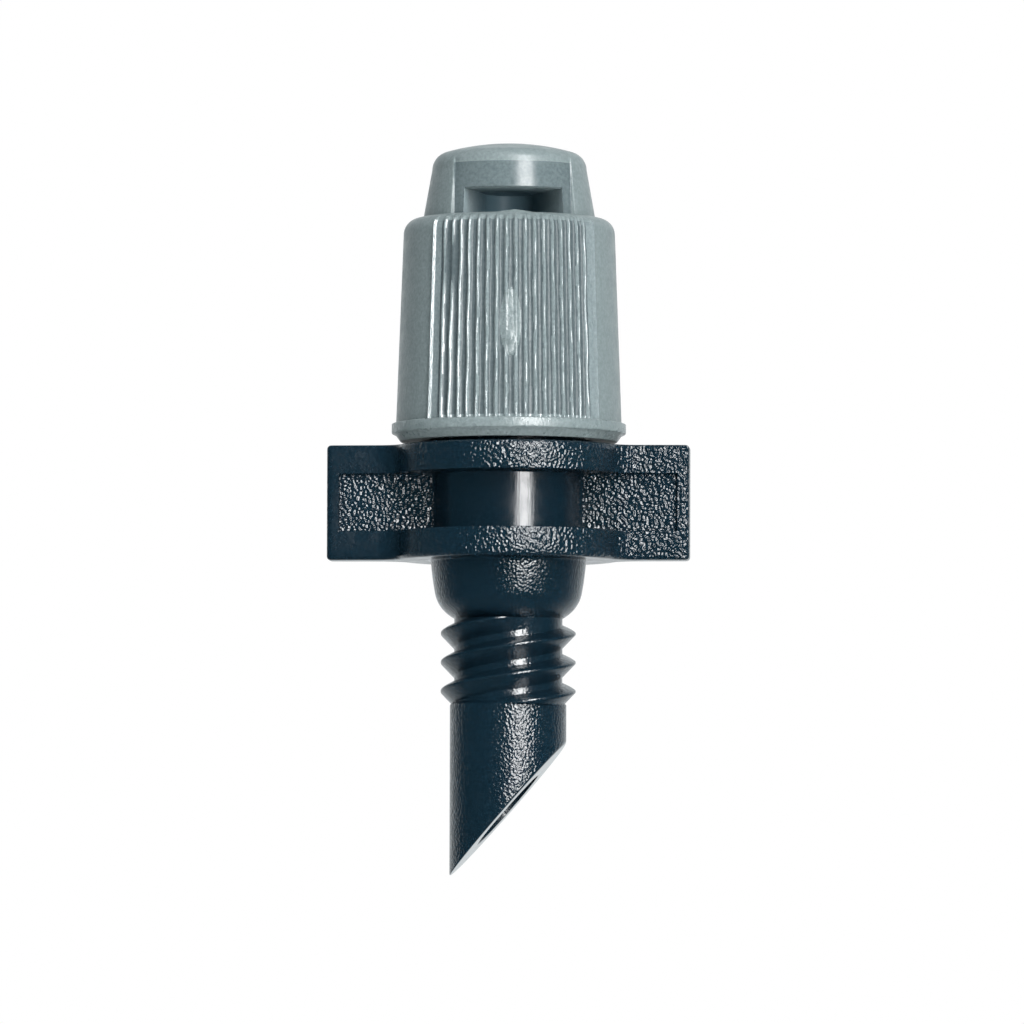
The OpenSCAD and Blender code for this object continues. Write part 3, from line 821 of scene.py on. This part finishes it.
def make_cap():
    """Grey cap, with the spray slot, the splitter and the jet cut into its skin."""
    n = 1080
    obj = skin("cap_body", cap_rows(-TURN / 4 + even_angles(n), -TURN / 4 + even_angles(n // 9)),
               [grey, grey_collar, gloss_and_painted_shade, slot_painted_light_and_shade, ribbed, grooves_painted_shade], lambda c: np.zeros(len(c)))
    roof = SHOULDER_Z + SLOT_H
    cone = lathe_cutter("cone_cutter", [(0, 0), (JET_POCKET_R, roof - 0.05), (JET_POCKET_R - 0.12, roof),
                                        (0.2, roof + 0.35), (0, 0)], 48)
    jet = lathe_cutter("jet_cutter", [(0, 0), (1.2, ROOF_Z - 0.2), (1.0, ROOF_Z), (JET_R, ROOF_Z + 0.4),
                                      (JET_R, SHOULDER_Z - 0.05), (JET_R + 0.12, SHOULDER_Z + 0.05),
                                      (0, 0)], 48)
    carve(obj, [(slot_tool(), "DIFFERENCE"), (splitter_tool(), "UNION"),
                (cone, "DIFFERENCE"), (jet, "DIFFERENCE")])
    obj.data.transform(Matrix.Rotation(CAP_TURN, 4, "Z"))

    def slot_of(c):
        turned = np.arctan2(c[:, 1], c[:, 0]) - CAP_TURN
        r = np.hypot(c[:, 0], c[:, 1])
        across = np.abs(r * np.cos(turned))
        front = np.sin(turned) < 0
        behind = face_radius(c[:, 2]) - r
        tall = (c[:, 2] > SHOULDER_Z + 0.02) & (c[:, 2] < SHOULDER_Z + FACE_H)
        # The recessed window face gets the polished material with its painted shade colour.
        window = front & tall & (across < FACE_WIDE - 0.02) & (np.abs(behind) < 0.04)
        jet_hole = (r < JET_R + 0.15) & (c[:, 2] > ROOF_Z + 0.01) & (c[:, 2] < roof + 0.4)
        # Faces inside the slot and the jet hole get the painted light and painted shade of the slot walls.
        inside = tall & (behind > 0.1) | jet_hole
        collar = (c[:, 2] < LIP_Z + LIP_H + 0.02) & (r > CAP_R - 0.2)
        side = np.minimum(np.abs(from_front(turned)), TURN / 2 - np.abs(from_front(turned)))
        panel = (side < RIB_BORDER + RIB_STEP / 4) & (r > CAP_TOP_R - 0.3)
        panel &= c[:, 2] < SHOULDER_Z - CORNER_R / 2
        scar = np.hypot((from_front(turned) * CAP_TOP_R + 0.22) / 0.45, (c[:, 2] - CAP_Z - 5) / 1.5) < 1
        scar &= front & panel
        # Faces low between the ribs get the painted shade colour of the grooves.
        groove = panel & (side < RIB_STEP * RIBS / 2) & (rib_height(turned, c[:, 2]) < RIB_H * 0.4)
        groove &= c[:, 2] > LIP_Z + LIP_H + 0.1
        return np.select([window, inside, collar | scar, groove, panel], [2, 3, 1, 5, 4], 0)

    paint(obj, slot_of)
    smooth_by_angle(obj, 32)
    return obj


# ---------------------------------------------------------------- assemble
base = make_base()
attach(base, "base")
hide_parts("base")

cap = make_cap()
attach(cap, "cap")
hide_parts("cap")

seal = frame["nodes"]["o_ring"]
seal.data.materials.clear()
seal.data.materials.append(rubber)


# ---------------------------------------------------------------- floor, light and camera
centre = (cad_lo + cad_hi) / 2
CAMERA_TURN = 3.5
CAMERA_RISE = -3.3
CAMERA_FAR = 440 * MM
CAMERA_ROLL = math.radians(0.15)
FRAME_WIDTH = 45.4 * MM
AIM_RIGHT = 0.15 * MM
AIM_DOWN = 0.11 * MM


def direction(azimuth, elevation):
    """Unit vector from the object towards a place seen at that azimuth and elevation, in degrees."""
    a, e = math.radians(azimuth), math.radians(elevation)
    return Vector((math.sin(a) * math.cos(e), -math.cos(a) * math.cos(e), math.sin(e)))


def make_camera():
    """Camera at the photo's viewing angle, aimed at the middle of the part."""
    data = bpy.data.cameras.new("camera")
    cam = bpy.data.objects.new("camera", data)
    bpy.context.scene.collection.objects.link(cam)
    back = direction(CAMERA_TURN, CAMERA_RISE)
    axes = (-back).to_track_quat("-Z", "Y").to_matrix() @ Matrix.Rotation(CAMERA_ROLL, 3, "Z")
    cam.rotation_euler = axes.to_euler()
    aim = centre + axes @ Vector((AIM_RIGHT, -AIM_DOWN, 0))
    cam.location = aim + back * CAMERA_FAR
    data.sensor_width = 36
    data.lens = data.sensor_width / 2 / (FRAME_WIDTH / 2 / CAMERA_FAR)
    data.clip_start, data.clip_end = 0.01, 10
    bpy.context.scene.camera = cam


def add_softbox(name, azimuth, elevation, far, width, height, power, seen=False):
    """A rectangular light that faces the object; width and height are in metres. Only a seen one
    shows in glossy surfaces."""
    data = bpy.data.lights.new(name, "AREA")
    data.shape = "RECTANGLE"
    data.size, data.size_y, data.energy = width, height, power
    lamp = bpy.data.objects.new(name, data)
    bpy.context.scene.collection.objects.link(lamp)
    back = direction(azimuth, elevation)
    lamp.location = centre + back * far
    lamp.rotation_euler = back.to_track_quat("Z", "Y").to_euler()
    lamp.visible_camera = False
    lamp.visible_glossy = seen


def sky(tree, front, back):
    """A background that goes from one colour on the camera's side to another behind the object."""
    new, link = tree.nodes.new, tree.links.new
    where, turn, ramp, light = [new(kind) for kind in ("ShaderNodeTexCoord", "ShaderNodeVectorMath",
                                                       "ShaderNodeValToRGB", "ShaderNodeBackground")]
    turn.operation = "DOT_PRODUCT"
    turn.inputs[1].default_value = -direction(CAMERA_TURN, 0)
    ramp.color_ramp.elements[0].position = 0.3
    ramp.color_ramp.elements[1].position = 0.95
    ramp.color_ramp.elements[0].color = (*front, 1)
    ramp.color_ramp.elements[1].color = (*back, 1)
    link(where.outputs["Generated"], turn.inputs[0])
    link(turn.outputs["Value"], ramp.inputs["Fac"])
    link(ramp.outputs["Color"], light.inputs["Color"])
    return light.outputs["Background"]


def make_world():
    """White to the camera, soft and pale to matt surfaces, and dark with a pale back to glossy ones."""
    world = bpy.data.worlds.new("studio")
    bpy.context.scene.world = world
    world.use_nodes = True
    tree = world.node_tree
    tree.nodes.clear()
    out = tree.nodes.new("ShaderNodeOutputWorld")
    path = tree.nodes.new("ShaderNodeLightPath")
    white = tree.nodes.new("ShaderNodeBackground")
    white.inputs["Color"].default_value = (1, 1, 1, 1)
    soft = sky(tree, (0.09, 0.105, 0.11), (0.85, 0.9, 0.9))
    room = sky(tree, (0.028, 0.085, 0.125), (0.85, 0.9, 0.92))
    shader = soft
    for ray, light in (("Is Glossy Ray", room), ("Is Camera Ray", white.outputs["Background"])):
        mix = tree.nodes.new("ShaderNodeMixShader")
        tree.links.new(path.outputs[ray], mix.inputs["Fac"])
        tree.links.new(shader, mix.inputs[1])
        tree.links.new(light, mix.inputs[2])
        shader = mix.outputs["Shader"]
    tree.links.new(shader, out.inputs["Surface"])


def make_floor():
    """Plain pale floor below the spike's point."""
    size, drop = 1.5, 40 * MM
    mesh = bpy.data.meshes.new("floor")
    z = cad_lo.z - drop
    corners = [(-size, -size, z), (size, -size, z), (size, size, z), (-size, size, z)]
    mesh.from_pydata(corners, [], [[0, 1, 2, 3]])
    floor = bpy.data.objects.new("floor", mesh)
    bpy.context.scene.collection.objects.link(floor)
    m, _, shader = new_material("floor_paper")
    shader.inputs["Base Color"].default_value = (0.85, 0.86, 0.86, 1)
    shader.inputs["Roughness"].default_value = 0.9
    mesh.materials.append(m)
    floor.visible_glossy = False


make_camera()
make_world()
make_floor()
add_softbox("key", CAMERA_TURN + 24.5, 20, 0.26, 0.095, 0.28, 1.15, seen=True)
add_softbox("fill", CAMERA_TURN - 60, 25, 0.5, 0.3, 0.3, 0.5)
add_softbox("top", CAMERA_TURN + 10, 65, 0.4, 0.2, 0.2, 1.0)
add_softbox("back", CAMERA_TURN + 180, 8, 0.5, 0.3, 0.3, 0.6)
bpy.context.scene.view_settings.view_transform = "Standard"
